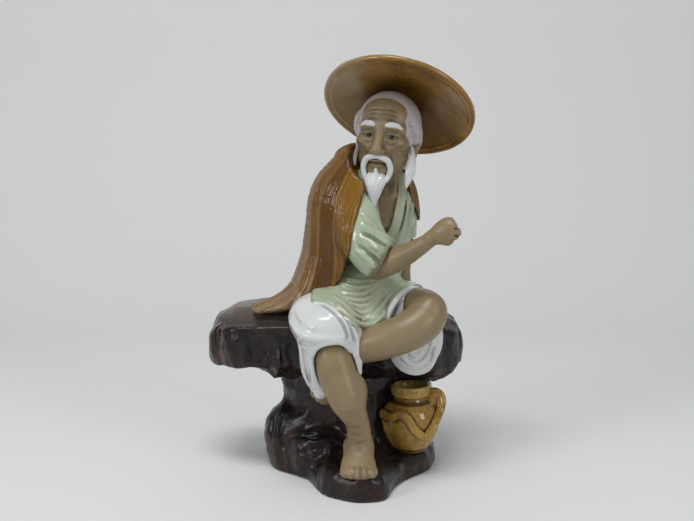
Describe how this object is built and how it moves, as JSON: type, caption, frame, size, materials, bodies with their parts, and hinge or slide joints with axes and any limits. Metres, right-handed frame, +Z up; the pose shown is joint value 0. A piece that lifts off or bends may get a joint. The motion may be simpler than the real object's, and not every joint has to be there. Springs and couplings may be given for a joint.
{
  "type": "seated fisherman figurine",
  "caption": "Glazed stoneware figurine of a bearded fisherman in a broad straw hat and a straw cape, seated on a dark rock with a small open jar beside one foot.",
  "frame": {"origin": "on the floor, under the middle of the bounding box", "axes": "+Z up, +X to the figure's left, which is the viewer's right, and -Y the way the figure faces"},
  "size_m": [0.1608, 0.1068, 0.246],
  "materials": {
    "rock_glaze": "glossy brown-black glaze",
    "jar_glaze": "glossy olive-amber glaze",
    "amber_glaze": "glossy amber-brown glaze",
    "celadon_glaze": "glossy pale green glaze",
    "white_glaze": "glossy white glaze",
    "bare_clay": "unglazed olive-brown stoneware with a soft sheen"
  },
  "bodies": {
    "root": {"rock_base": "rock_glaze", "rock_ledge": "rock_glaze", "jar": "jar_glaze", "jar_sling": "jar_glaze", "hat": "amber_glaze", "cape": "amber_glaze", "tunic": "celadon_glaze", "tunic_skirt": "celadon_glaze", "right_lapel": "celadon_glaze", "left_lapel": "celadon_glaze", "right_sleeve": "celadon_glaze", "left_sleeve": "celadon_glaze", "right_trouser_leg": "white_glaze", "left_trouser_leg": "white_glaze", "hair": "white_glaze", "right_sidelock": "white_glaze", "left_sidelock": "white_glaze", "right_eyebrow": "white_glaze", "left_eyebrow": "white_glaze", "moustache": "white_glaze", "goatee": "white_glaze", "chest": "bare_clay", "right_leg": "bare_clay", "right_foot": "bare_clay", "left_leg": "bare_clay", "left_foot": "bare_clay", "right_forearm": "bare_clay", "right_fist": "bare_clay", "left_forearm": "bare_clay", "left_hand": "bare_clay", "head": "bare_clay", "right_ear": "bare_clay", "left_ear": "bare_clay"}
  },
  "joints": []
}
